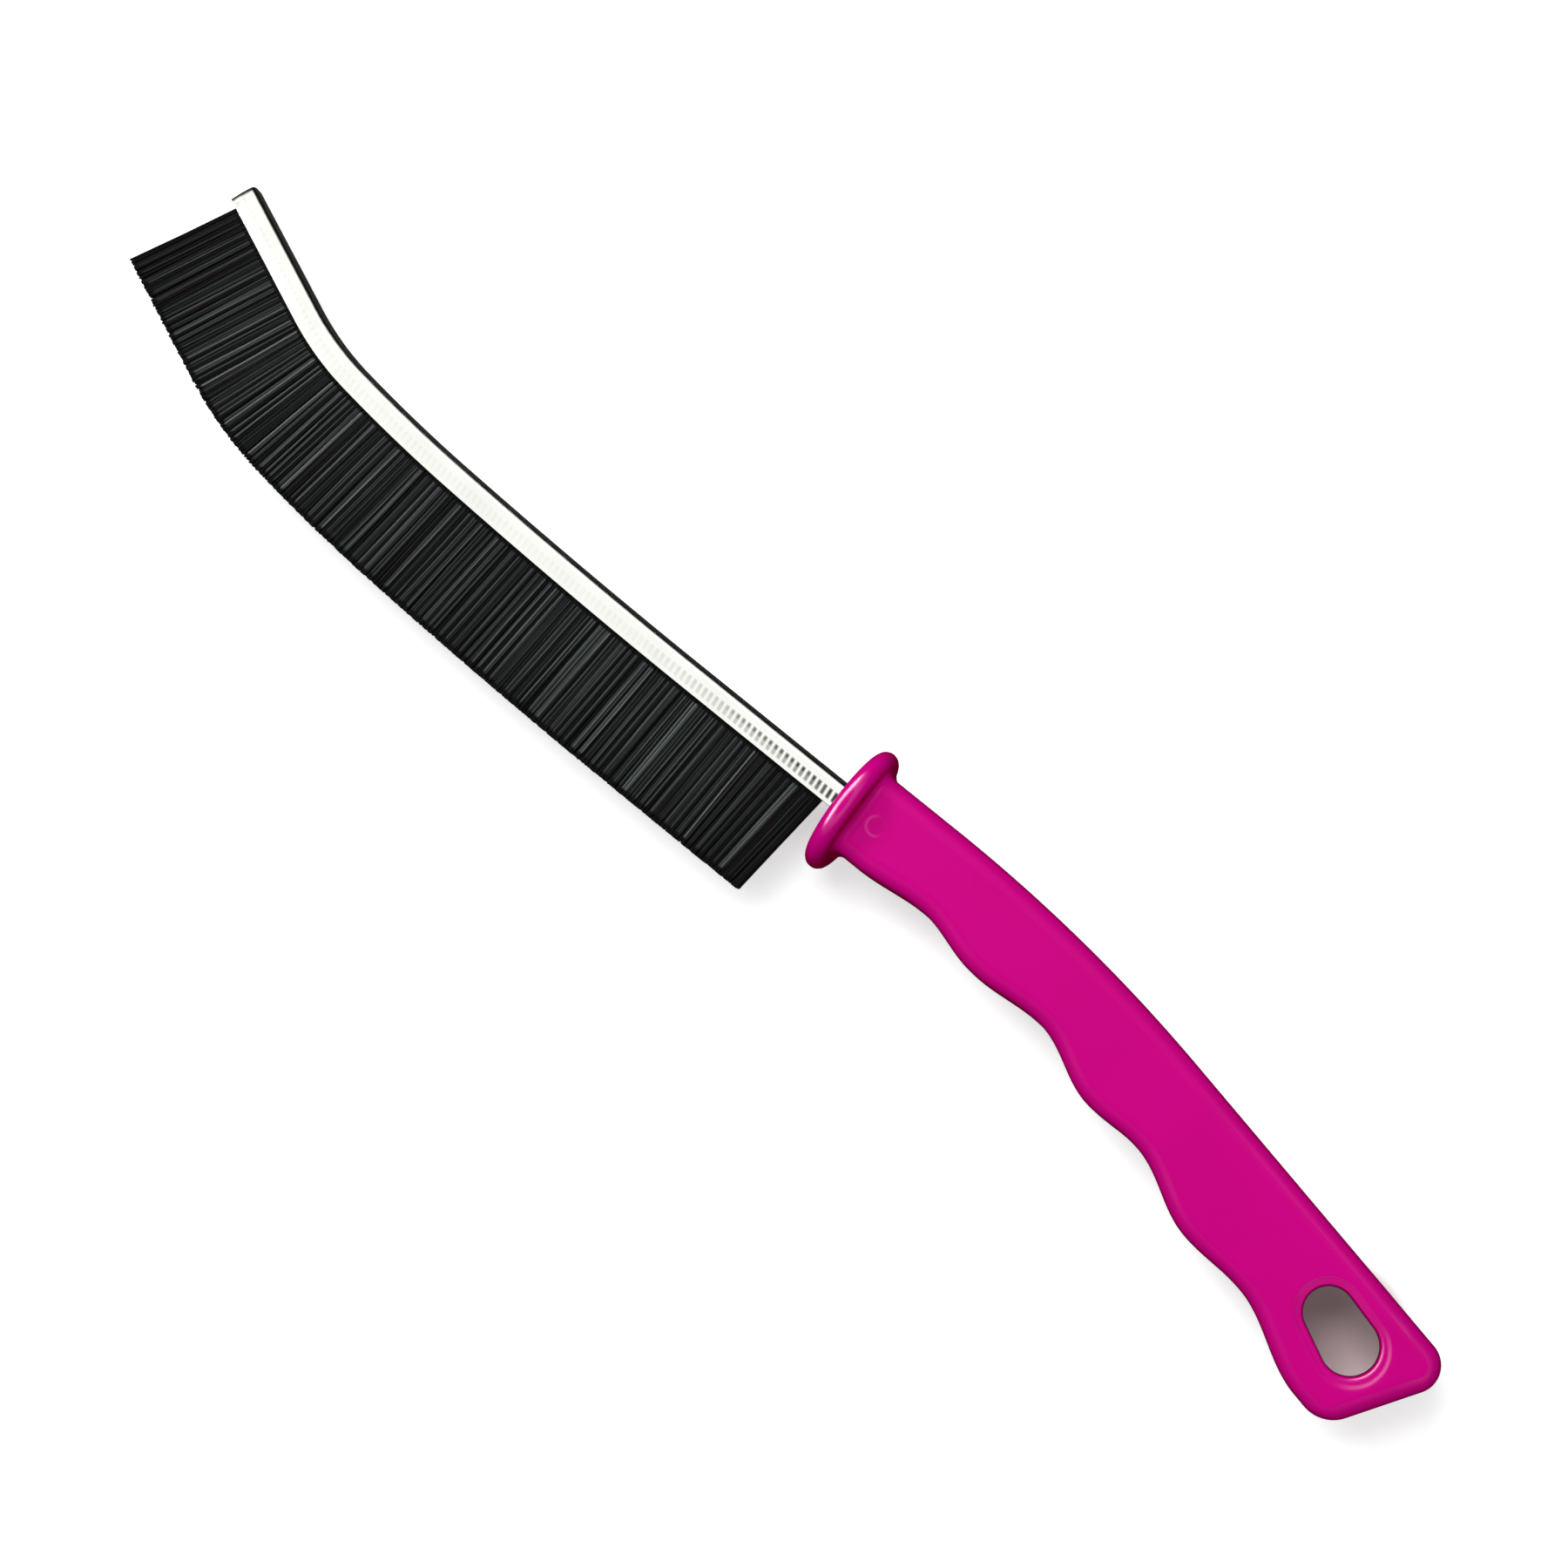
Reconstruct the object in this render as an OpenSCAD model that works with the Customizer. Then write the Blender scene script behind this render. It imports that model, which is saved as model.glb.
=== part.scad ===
// Crevice brush: a strip brush head in a rolled steel channel, set in a moulded handle.
// X runs along the steel where it leaves the handle, towards the tip of the brush.
// Y points to the bristles, and Z across the brush, whose mid-plane halves every piece.
// The brush lies on its side, and the origin is under the middle of its box.

/* [Brush path] */
// Straight run of the channel in front of the flange
first_run = 33.3; // [25:0.1:45]
// Radius of the first, faint bend
bend_1_radius = 1216; // [900:1:2000]
// Angle of the first bend
bend_1_angle = 2.5; // [1.5:0.1:3]
// Radius of the second bend
bend_2_radius = 308; // [250:1:500]
// Angle of the second bend
bend_2_angle = 4.6; // [3:0.1:6]
// Radius of the tight bend near the tip
bend_3_radius = 53; // [40:1:90]
// Angle of the tight bend
bend_3_angle = 15.4; // [8:0.1:20]
// Straight run from the tight bend to the tip
last_run = 24.1; // [15:0.1:40]

/* [Channel] */
// Height of the channel, from its back to its lips
channel_h = 4.8; // [4:0.1:6]
// Width of the channel across its back
channel_w = 4.8; // [4:0.1:6]
// Thickness of the steel
channel_wall = 0.7; // [0.5:0.05:0.9]
// Outside radius of the two folds along the back
fold_radius = 1.1; // [0.95:0.05:1.5]
// How far each lip is pressed in on the filaments
lip_pinch = 0.35; // [0.1:0.05:0.5]
// Height of the part of each side wall that is pressed in
crimp_h = 1.9; // [1:0.1:2.4]
// Spacing of the crimp marks along each side
crimp_pitch = 1.15; // [1:0.05:2]
// Length of a crimp mark, across the side wall
crimp_length = 1.2; // [0.6:0.1:1.5]
// Width of a crimp mark, along the channel
crimp_w = 0.6; // [0.3:0.05:0.8]
// Depth of a crimp mark
crimp_depth = 0.2; // [0.05:0.05:0.3]
// Distance from the edge of the lip to the crimp marks
crimp_edge = 0.3; // [0.2:0.05:0.5]
// Length of the channel held inside the handle
tang_length = 26; // [15:1:40]

/* [Filaments] */
// Trim: how far the filaments stand out of the lips
trim = 20.2; // [10:0.1:30]
// Gap between the flange and the first filaments
root_gap = 3.3; // [2:0.1:8]
// Bare channel beyond the last filaments
tip_gap = 1.3; // [1:0.1:6]
// Spacing of the modelled strands along the channel
strand_pitch = 1.05; // [0.95:0.01:1.4]
// Rows of strands across the channel
strand_rows = 3; // [2:1:3]
// Radius of a three-sided strand
strand_radius = 0.32; // [0.2:0.01:0.35]
// Distance between the rows at the lips
row_spacing = 0.85; // [0.75:0.01:0.9]
// Angle by which the outer rows fan out sideways
fan_angle = 4.5; // [0:0.1:6]
// Forward lean of the strands nearest the handle
root_lean = 4.4; // [0:0.1:6]
// Length of channel over which that lean fades out
lean_fade = 14; // [10:1:40]
// Forward lean of the strands nearest the tip
tip_lean = 2.8; // [0:0.1:5]
// Length of channel over which the tip's lean builds up
tip_fade = 8; // [5:1:20]
// Uneven length of the trimmed ends
trim_scatter = 0.35; // [0:0.05:1]
// Depth of the packed filaments below the lips
bed_recess = 0.4; // [0.2:0.05:1]
// Diameter of the core wire that the filaments are folded over
wire_d = 1.4; // [1:0.1:1.6]
// Thickness of the folded filaments between the wire and the channel
fold_t = 0.4; // [0.3:0.05:0.6]

/* [Handle] */
// Length from the front of the flange to the back corner of the butt
handle_length = 135.6; // [125:0.1:150]
// Thickness of the handle between its two flat sides
handle_t = 13; // [11:0.1:15]
// Radius that rounds the long edges
edge_radius = 3; // [2.5:0.1:4]
// Distance from the middle of the channel to the back edge of the neck
back_offset = 7.6; // [6.5:0.05:9]
// Distance behind the flange where the back edge starts to bend
back_bend_start = 17.8; // [12:0.1:30]
// Radius of the back edge's bend
back_bend_radius = 283; // [200:1:330]
// Angle by which the butt half is turned to the finger side
back_bend_angle = 11; // [8:0.05:14]
// Ridges and grooves of the finger side: distance behind the flange, then width of the handle
finger_profile = [
    [8, 15.1], [21.5, 13.95], [34.3, 16.15], [48.4, 14.5], [61.9, 17.85],
    [73.3, 16.35], [87.3, 19.65], [99.9, 18.35]
];
// Angle of the butt's end face to the Y axis
butt_slant = 31.7; // [25:0.1:38]
// Length of the butt's end face between its sharp corners
butt_w = 23.6; // [21:0.1:26]
// Corner radius of the butt at the back edge
butt_back_radius = 4.6; // [3:0.1:5.5]
// Corner radius of the butt on the finger side
butt_finger_radius = 6; // [4:0.1:7]

/* [Flange] */
// Diameter of the round flange
flange_d = 23.1; // [19:0.1:28]
// Thickness of the flange, whose rim is a full round
flange_t = 4.8; // [3:0.1:5.5]
// Distance of the flange's middle from the channel's middle, to the finger side
flange_shift = 0.6; // [0:0.1:1.5]
// How far the flange's front stands ahead of the point that the channel is measured from
flange_front = 0.4; // [0:0.1:1]
// Radius of the fillet between the flange and the neck
flange_fillet = 2.2; // [1:0.1:2.6]

/* [Hang hole] */
// Distance of the hole's middle from the back corner of the butt, along X
hole_from_butt = 19.7; // [18:0.1:24]
// Distance of the hole's middle from the back edge, along Y
hole_inset = 10; // [9:0.05:11]
// Angle of the hole to the X axis
hole_angle = 20; // [11:0.5:30]
// Distance between the centres of the hole's two round ends
hole_span = 6.2; // [4:0.1:8]
// Radius of the end towards the brush
hole_r_front = 4.2; // [3:0.1:4.8]
// Radius of the end towards the butt
hole_r_butt = 4.8; // [4:0.1:5.2]
// Width of the sloping lead-in round the hole
lead_w = 1.3; // [0.5:0.1:1.6]
// Depth of the lead-in
lead_depth = 0.9; // [0.4:0.1:2]

/* [Fits] */
// Clearance between the tang and its socket
socket_clearance = 0.05; // [0.02:0.01:0.2]
// Clearance of the packed filaments to the channel and to the wire
bed_clearance = 0.04; // [0.02:0.01:0.1]
// Depth of the socket beyond the end of the tang
socket_end_gap = 0.5; // [0.1:0.1:2]

/* [Hidden] */
$fn = 64;
lap = 0.01;
bristle_nodes = 5;
handle_colour = [0.8, 0, 0.52];
steel_colour = [0.82, 0.82, 0.8];
wire_colour = [0.6, 0.6, 0.6];
filament_colour = [0.09, 0.09, 0.1];

// The path of the channel's middle: each run is a length and a radius, where 0 is straight
function arc_length(radius, angle) = radius * angle * PI / 180;
runs = [
    [first_run, 0],
    [arc_length(bend_1_radius, bend_1_angle), bend_1_radius],
    [arc_length(bend_2_radius, bend_2_angle), bend_2_radius],
    [arc_length(bend_3_radius, bend_3_angle), bend_3_radius],
    [last_run, 0]
];
last = len(runs) - 1;
function turn(d, radius) = radius == 0 ? 0 : d / radius * 180 / PI;
function run_start(i) = i == 0 ? 0 : run_start(i - 1) + runs[i - 1][0];
function run_heading(i) = i == 0 ? 0 : run_heading(i - 1) + turn(runs[i - 1][0], runs[i - 1][1]);
function tangent(heading) = [cos(heading), -sin(heading)];
function normal(heading) = [sin(heading), cos(heading)];
// A point at a distance d along a run that starts at p: round its centre, or straight on
function along(p, heading, radius, d) =
    radius == 0
        ? p + d * tangent(heading)
        : p - radius * normal(heading) + radius * normal(heading + turn(d, radius));
function run_origin(i) =
    i == 0 ? [0, 0] : along(run_origin(i - 1), run_heading(i - 1), runs[i - 1][1], runs[i - 1][0]);
origins = [for (i = [0:last]) run_origin(i)];
starts = [for (i = [0:last]) run_start(i)];
headings = [for (i = [0:last]) run_heading(i)];
channel_end = run_start(last) + runs[last][0];
function run_at(s, i = last) = i == 0 || s >= starts[i] ? i : run_at(s, i - 1);
function path_heading(s) = let (i = run_at(s)) headings[i] + turn(s - starts[i], runs[i][1]);
function path_point(s) = let (i = run_at(s)) along(origins[i], headings[i], runs[i][1], s - starts[i]);

// The strands: where each one is rooted and which way it points
first_strand = root_gap;
last_strand = channel_end - tip_gap;
section_length = (last_strand - first_strand) / bristle_nodes;
columns = floor(section_length / strand_pitch);
lip_n = channel_h / 2;
bed_top = lip_n - bed_recess;
root_depth = 0.6;
// How far the middle row stands off the outer rows, in columns, and how unevenly the strands lie
row_stagger = 0.25;
lean_scatter = 0.35;
fan_scatter = 0.4;
twist_scatter = 60;
function scatter(seed) = rands(-1, 1, 3, seed);
function strand_s(section, column, row) =
    first_strand + section * section_length
    + (column + 0.5 + row_stagger * (row % 2 == 0 ? -1 : 1)) * section_length / columns;
function strand_z(row) = (row - (strand_rows - 1) / 2) * row_spacing;
function strand_fan(row) = fan_angle * (row - (strand_rows - 1) / 2);
function strand_lean(s) =
    root_lean * max(0, 1 - (s - first_strand) / lean_fade)
    + tip_lean * max(0, 1 - (last_strand - s) / tip_fade);
function strand_axis(s, row, shift) =
    let (
        h = path_heading(s),
        lean = strand_lean(s) + shift[0] * lean_scatter,
        fan = strand_fan(row) + shift[1] * fan_scatter,
        flat = cos(lean) * normal(h) + sin(lean) * tangent(h)
    )
    [flat[0] * cos(fan), flat[1] * cos(fan), sin(fan)];
function strand_foot(s, row) =
    let (p = path_point(s) + (bed_top - root_depth) * normal(path_heading(s)))
    [p[0], p[1], strand_z(row)];
function strand_length(shift) = root_depth + bed_recess + trim + shift[2] * trim_scatter;
function strand_seed(section, column, row) = 1 + row + strand_rows * (column + columns * section);
// The three corners of a strand's foot, and then those of its tip
function strand_points(section, column, row) =
    let (
        shift = scatter(strand_seed(section, column, row)),
        s = strand_s(section, column, row),
        axis = strand_axis(s, row, shift),
        foot = strand_foot(s, row),
        side = cross(axis, [0, 0, 1]) / norm(cross(axis, [0, 0, 1])),
        up = cross(side, axis)
    )
    [for (end = [foot, foot + strand_length(shift) * axis], k = [0:2])
        let (a = 120 * k + twist_scatter * shift[1])
        end + strand_radius * (cos(a) * side + sin(a) * up)
    ];

// The handle's outline: the back edge is straight, bent by an arc, and straight again
back_bend_x = back_bend_start + back_bend_radius * sin(back_bend_angle);
back_bend_rise = back_bend_radius * (1 - cos(back_bend_angle));
function back_edge(x) =
    let (d = -x)
    d <= back_bend_start
        ? -back_offset
        : d <= back_bend_x
            ? -back_offset + back_bend_radius - sqrt(pow(back_bend_radius, 2) - pow(d - back_bend_start, 2))
            : -back_offset + back_bend_rise + (d - back_bend_x) * tan(back_bend_angle);
butt_back = [-handle_length, back_edge(-handle_length)];
butt_finger = butt_back + butt_w * normal(butt_slant);
butt_skew = butt_slant - back_bend_angle;
// Towards the brush along the butt half of the handle
butt_forward = tangent(back_bend_angle);
// The butt's rounded end starts this far in front of its end face
butt_depth =
    max(edge_radius, butt_back_radius * (1 + sin(butt_skew)), butt_finger_radius * (1 - sin(butt_skew)));
function butt_shift(depth) = depth / cos(butt_skew) * butt_forward;
heel = butt_finger + butt_shift(butt_depth);
fingers = concat(finger_profile, [[-heel[0], heel[1] - back_edge(heel[0])]]);
function ease(t) = (1 - cos(180 * t)) / 2;
function finger_span(d, i = 0) = i >= len(fingers) - 2 || d <= fingers[i + 1][0] ? i : finger_span(d, i + 1);
function handle_width(x) =
    let (
        d = max(fingers[0][0], -x),
        i = finger_span(d),
        t = (d - fingers[i][0]) / (fingers[i + 1][0] - fingers[i][0])
    )
    fingers[i][1] + (fingers[i + 1][1] - fingers[i][1]) * ease(min(1, t));
function finger_edge(x) = back_edge(x) + handle_width(x);

// How far a round of the given radius has drawn in at a depth below the end face
function drawn_in(depth, radius) =
    depth >= radius ? 0 : radius - sqrt(max(0, pow(radius, 2) - pow(radius - depth, 2)));
// How far a fillet of the given radius has drawn in at a depth below the end face, where the side it
// joins stands off square by the skew
function corner_in(depth, radius, skew) =
    depth >= radius * (1 + sin(skew))
        ? 0
        : radius * tan(45 + skew / 2) - depth * tan(skew)
            - sqrt(max(0, pow(radius, 2) - pow(radius - depth, 2)));

// A station of the handle: back point, finger point, half thickness and edge radius
round_steps = 7;
grip_steps = 52;
flange_back = flange_front - flange_t;
neck_x = flange_back - flange_fillet;
// The flare's corners grow rounder than its sides grow out, so that they stay inside the flange
flare_round = 2.4;
function flare_station(x) =
    let (
        out = x >= flange_back
            ? flange_fillet
            : flange_fillet - sqrt(max(0, pow(flange_fillet, 2) - pow(x - neck_x, 2))),
        thick = handle_t / 2 + out,
        corner = min(edge_radius + flare_round * out, 0.95 * thick)
    )
    [[x, back_edge(x) - out], [x, finger_edge(x) + out], thick, corner];
function grip_station(t) =
    let (
        back_x = neck_x + (butt_back[0] + butt_shift(butt_depth)[0] - neck_x) * t,
        finger_x = neck_x + (heel[0] - neck_x) * t
    )
    [[back_x, back_edge(back_x)], [finger_x, finger_edge(finger_x)], handle_t / 2, edge_radius];
function butt_station(depth) =
    let (
        across = normal(butt_slant),
        low = drawn_in(depth, edge_radius),
        a = butt_back + butt_shift(depth) + corner_in(depth, butt_back_radius, butt_skew) * across,
        b = butt_finger + butt_shift(depth) - corner_in(depth, butt_finger_radius, -butt_skew) * across
    )
    [a, b, handle_t / 2 - low, max(edge_radius - low, edge_radius / 10)];
stations = concat(
    [flare_station(flange_front - flange_t / 2)],
    [for (k = [0:round_steps - 1]) flare_station(neck_x + flange_fillet * cos(90 * k / round_steps))],
    [for (k = [0:grip_steps - 1]) grip_station(k / grip_steps)],
    [for (k = [0:round_steps]) butt_station(butt_depth * (1 - sin(90 * k / round_steps)))]
);

// One station's ring: a rectangle with four rounded corners, standing on the mid-plane
corner_steps = 5;
function station_ring(st) =
    let (
        across = (st[1] - st[0]) / norm(st[1] - st[0]),
        middle = (st[0] + st[1]) / 2,
        half_w = norm(st[1] - st[0]) / 2,
        r = min(st[3], st[2], half_w)
    )
    [for (q = [0:3], k = [0:corner_steps])
        let (
            a = 90 * (q + k / corner_steps),
            u = (q == 0 || q == 3 ? 1 : -1) * (half_w - r) + r * cos(a),
            z = (q < 2 ? 1 : -1) * (st[2] - r) + r * sin(a),
            p = middle + u * across
        )
        [p[0], p[1], z]
    ];
rings = [for (st = stations) station_ring(st)];
ring_size = 4 * (corner_steps + 1);

// The hang hole keeps its place in the butt
hole_x = handle_length - hole_from_butt;
// The hang hole's ring grown by a width, at a height: two round ends joined by straight sides
hole_steps = 16;
function hole_ring(grow, height) =
    let (lean = asin((hole_r_butt - hole_r_front) / hole_span))
    [for (part = [[1, hole_r_butt, 0, 90 + lean], [-1, hole_r_front, 180, 90 - lean]], k = [0:hole_steps])
        let (
            a = part[2] + part[3] * (2 * k / hole_steps - 1),
            r = part[1] + grow
        )
        [part[0] * hole_span / 2 + r * cos(a), r * sin(a), height]
    ];
// The rounded lead-in as growth and height, from beyond the flat side down to the plain wall
lead_steps = 3;
lead_levels = [
    for (k = [0:lead_steps])
        let (a = 90 * (1 - k / lead_steps))
        [lead_w * (1 - cos(a)), handle_t / 2 - lead_depth * (1 - sin(a))]
];
lead_start = 2 * lead_levels[0] - lead_levels[1];
top_levels = [for (k = [0:lead_steps]) k == 0 ? lead_start : lead_levels[k]];
hole_levels = concat(top_levels, [for (level = reversed(top_levels)) [level[0], -level[1]]]);

// Stations along the path from s0 to s1, close enough for a chord to stay within sagitta of its arc
sagitta = 0.004;
function chord(radius) = sqrt(8 * radius * sagitta);
function path_stations(s0, s1) = concat(
    [for (i = [0:last])
        let (
            from = i == 0 ? s0 : max(s0, starts[i]),
            to = i == last ? s1 : min(s1, starts[i] + runs[i][0]),
            steps = runs[i][1] == 0 ? 1 : ceil((to - from) / chord(runs[i][1]))
        )
        if (to > from)
            each [for (k = [0:steps - 1]) from + (to - from) * k / steps]
    ],
    [s1]
);
// The rings of a flat section carried along the path: its points are distances along the normal and Z
function path_rings(section, s0, s1) = [
    for (s = path_stations(s0, s1), q = section)
        let (p = path_point(s) + q[0] * normal(path_heading(s)))
        [p[0], p[1], q[1]]
];

// The channel's outside grown on all sides, up to a height n: pinched side, two rounded folds, side
fold_steps = 3;
half_channel = channel_w / 2;
fold_n = -channel_h / 2 + fold_radius;
crimp_n = lip_n - crimp_h;
function outline(grow, top) =
    let (top_half = half_channel - lip_pinch * (top - crimp_n) / crimp_h + grow)
    concat(
        [[top, -top_half], [crimp_n, -half_channel - grow]],
        [for (side = [-1, 1], k = [0:fold_steps])
            let (a = (side < 0 ? 270 : 180) - 90 * k / fold_steps)
            [fold_n, side * (half_channel - fold_radius)] + (fold_radius + grow) * [cos(a), sin(a)]
        ],
        [[crimp_n, half_channel + grow], [top, top_half]]
    );
function reversed(list) = [for (i = [1:len(list)]) list[len(list) - i]];
channel_section = concat(outline(0, lip_n), reversed(outline(-channel_wall, lip_n)));
bed_outline = outline(-channel_wall - bed_clearance, bed_top);
wire_sides = 12;
wire_n = -channel_h / 2 + channel_wall + fold_t + wire_d / 2;
function wire_outline(grow) = [
    for (k = [1:wire_sides])
        let (a = -360 * k / wire_sides)
        [wire_n + (wire_d / 2 + grow) * cos(a), (wire_d / 2 + grow) * sin(a)]
];

// The box of the whole brush, which places the origin
strand_ends = [
    for (section = [0:bristle_nodes - 1], column = [0:columns - 1], row = [0:strand_rows - 1])
        each strand_points(section, column, row)
];
tip_corner = path_point(channel_end) - channel_h / 2 * normal(path_heading(channel_end));
ring_points = [for (ring = rings) each ring];
low_x = min([for (p = ring_points) p[0]]);
high_x = max([for (p = strand_ends) p[0]]);
low_y = min(-flange_d / 2 + flange_shift, tip_corner[1]);
high_y = max(max([for (p = ring_points) p[1]]), max([for (p = strand_ends) p[1]]));
shift_to_origin = [-(low_x + high_x) / 2, -(low_y + high_y) / 2, flange_d / 2];

// Joins rings of equal size into one closed solid of triangles, with a strip across each end
module loft(points, size) {
    ends = len(points) - size;
    sides = [
        for (i = [0:size:ends - size], k = [0:size - 1])
            let (
                a = i + k,
                b = i + (k + 1) % size
            )
            each [[a, b, b + size], [a, b + size, a + size]]
    ];
    strip = [
        for (k = [0:floor((size - 1) / 2) - 1])
            let (far = size - 1 - k)
            each k + 1 < far - 1 ? [[k, k + 1, far], [k + 1, far - 1, far]] : [[k, k + 1, far]]
    ];
    front = [for (t = strip) [t[2], t[1], t[0]]];
    rear = [for (t = strip) t + ends * [1, 1, 1]];
    polyhedron(points = points, faces = concat(sides, front, rear));
}

// Carries a section along the path from s0 to s1
module sweep(section, s0, s1) {
    loft(path_rings(section, s0, s1), len(section));
}

module hang_hole_cut() {
    translate([-hole_x, back_edge(-hole_x) + hole_inset])
        rotate(180 - hole_angle)
            loft([for (level = hole_levels) each hole_ring(level[0], level[1])], 2 * (hole_steps + 1));
}

module flange() {
    rim = flange_t / 2;
    translate([flange_front - rim, flange_shift, 0])
        rotate([0, 90, 0])
            rotate_extrude() {
                translate([0, -rim])
                    square([flange_d / 2 - rim, flange_t]);
                translate([flange_d / 2 - rim, 0])
                    intersection() {
                        circle(rim);
                        translate([0, -rim])
                            square([rim, flange_t]);
                    }
            }
}

// Places a flat shape square to the path: its X along the normal, its Y along Z
module at_path(s) {
    translate(path_point(s))
        rotate([90, 0, 90 - path_heading(s)])
            children();
}

module tang_socket() {
    at_path(-tang_length - socket_end_gap)
        linear_extrude(tang_length + socket_end_gap + 1)
            polygon(outline(socket_clearance, lip_n + socket_clearance));
}

// A shallow V pressed into the sloping part of one side wall
module crimp_mark(s, side) {
    at_path(s)
        rotate([side < 0 ? 180 : 0, 0, 0])
            translate([lip_n, half_channel - lip_pinch])
                rotate(-atan(lip_pinch / crimp_h))
                    translate([-crimp_edge, 0])
                        rotate([0, -90, 0])
                            linear_extrude(crimp_length)
                                polygon([[-crimp_w / 2, lap], [crimp_w / 2, lap], [0, -crimp_depth]]);
}

module bristles(section) {
    from = first_strand + section * section_length;
    to = from + section_length;
    color(filament_colour)
        translate(shift_to_origin) {
            difference() {
                sweep(bed_outline, from, to);
                sweep(wire_outline(bed_clearance), from - 1, to + 1);
            }
            for (column = [0:columns - 1], row = [0:strand_rows - 1])
                loft(strand_points(section, column, row), 3);
        }
}

module handle() {
    color(handle_colour)
        translate(shift_to_origin)
            difference() {
                union() {
                    loft(ring_points, ring_size);
                    flange();
                }
                tang_socket();
                hang_hole_cut();
            }
}

module channel() {
    marks = floor((channel_end - crimp_pitch) / crimp_pitch);
    color(steel_colour)
        translate(shift_to_origin)
            difference() {
                sweep(channel_section, -tang_length, channel_end);
                for (k = [1:marks], side = [-1, 1])
                    crimp_mark(k * crimp_pitch, side);
            }
}

module core_wire() {
    color(wire_colour)
        translate(shift_to_origin)
            sweep(wire_outline(0), first_strand, last_strand);
}

handle();
channel();
core_wire();
bristles(0);  // bristles_1
bristles(1);  // bristles_2
bristles(2);  // bristles_3
bristles(3);  // bristles_4
bristles(4);  // bristles_5
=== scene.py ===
# Crevice brush: looks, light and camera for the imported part.
# Shapes are worked out in millimetres with X = 0 at the front of the flange and Y = 0 on the
# middle of the channel, and then shifted to the part's own frame in metres.
import math

import bpy
import numpy as np
from mathutils import Matrix


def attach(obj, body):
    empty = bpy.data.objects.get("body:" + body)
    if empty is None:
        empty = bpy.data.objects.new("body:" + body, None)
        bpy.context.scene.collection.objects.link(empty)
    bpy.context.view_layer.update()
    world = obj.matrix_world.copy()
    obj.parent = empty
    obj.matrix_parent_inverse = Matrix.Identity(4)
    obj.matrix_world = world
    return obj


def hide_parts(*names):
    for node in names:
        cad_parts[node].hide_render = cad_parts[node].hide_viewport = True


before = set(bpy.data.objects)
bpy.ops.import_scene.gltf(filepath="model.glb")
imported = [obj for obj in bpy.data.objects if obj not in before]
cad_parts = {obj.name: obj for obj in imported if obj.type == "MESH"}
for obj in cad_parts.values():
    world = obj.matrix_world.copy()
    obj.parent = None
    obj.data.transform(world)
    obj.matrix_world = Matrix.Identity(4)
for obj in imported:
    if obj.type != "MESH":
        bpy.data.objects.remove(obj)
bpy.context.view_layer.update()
rng = np.random.default_rng(7)
originShift = np.array([-11.1691, -5.53711, 11.55])  # added to these millimetres gives the part's frame
metresPerMm = 0.001
print("frame loaded", sorted(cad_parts))


# Meshes
def turnOutward(points, faces):
    # volume under the surface: sum of p0 . (p1 x p2) over a fan of each face; negative means inside out
    total = 0.0
    for k in range(1, faces.shape[1] - 1):
        a, b, c = points[faces[:, 0]], points[faces[:, k]], points[faces[:, k + 1]]
        total += np.einsum("ij,ij->i", a, np.cross(b, c)).sum()
    return faces if total > 0 else faces[:, ::-1]


def makePiece(name, points, faceGroups, material, sharpAngle):
    # points in millimetres go to (point + shift) * 0.001; each group holds quads or triangles of them
    faceGroups = [turnOutward(points, faces) for faces in faceGroups]
    corners = np.concatenate([faces.ravel() for faces in faceGroups])
    sizes = np.concatenate([np.full(len(faces), faces.shape[1]) for faces in faceGroups])
    mesh = bpy.data.meshes.new(name)
    mesh.vertices.add(len(points))
    mesh.vertices.foreach_set("co", ((points + originShift) * metresPerMm).astype(np.float32).ravel())
    mesh.loops.add(len(corners))
    mesh.loops.foreach_set("vertex_index", corners.astype(np.int32))
    mesh.polygons.add(len(sizes))
    mesh.polygons.foreach_set("loop_start", (np.cumsum(sizes) - sizes).astype(np.int32))
    mesh.update(calc_edges=True)
    mesh.validate()
    finishMesh(mesh, material, sharpAngle)
    piece = bpy.data.objects.new(name, mesh)
    bpy.context.scene.collection.objects.link(piece)
    return piece


def finishMesh(mesh, material, sharpAngle):
    # smooth shading, broken at edges sharper than the angle in degrees
    mesh.polygons.foreach_set("use_smooth", np.ones(len(mesh.polygons), dtype=bool))
    mesh.set_sharp_from_angle(angle=math.radians(sharpAngle))
    mesh.materials.clear()
    mesh.materials.append(material)


def markPoints(piece, key, values):
    # one number at each point, which a finish reads by its name
    marks = piece.data.attributes.new(key, "FLOAT", "POINT")
    marks.data.foreach_set("value", values.astype(np.float32).ravel())


def ringQuads(rings, around):
    # quads from each ring of points to the next, all the way round
    first = np.arange(rings - 1)[:, None] * around
    here = first + np.arange(around)[None, :]
    after = first + (np.arange(around)[None, :] + 1) % around
    return np.stack([here, after, after + around, here + around], -1).reshape(-1, 4)


def capQuads(first, around, flipped):
    # a strip of quads across one ring, from its start and its end towards its middle
    k = np.arange(around // 2 - 1)
    quads = first + np.stack([k, k + 1, around - 2 - k, around - 1 - k], -1)
    return quads[:, ::-1] if flipped else quads


def loftQuads(rings, around):
    # a closed tube: its sides and a strip across each end
    return np.concatenate([
        ringQuads(rings, around),
        capQuads(0, around, True),
        capQuads((rings - 1) * around, around, False),
    ])


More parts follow.
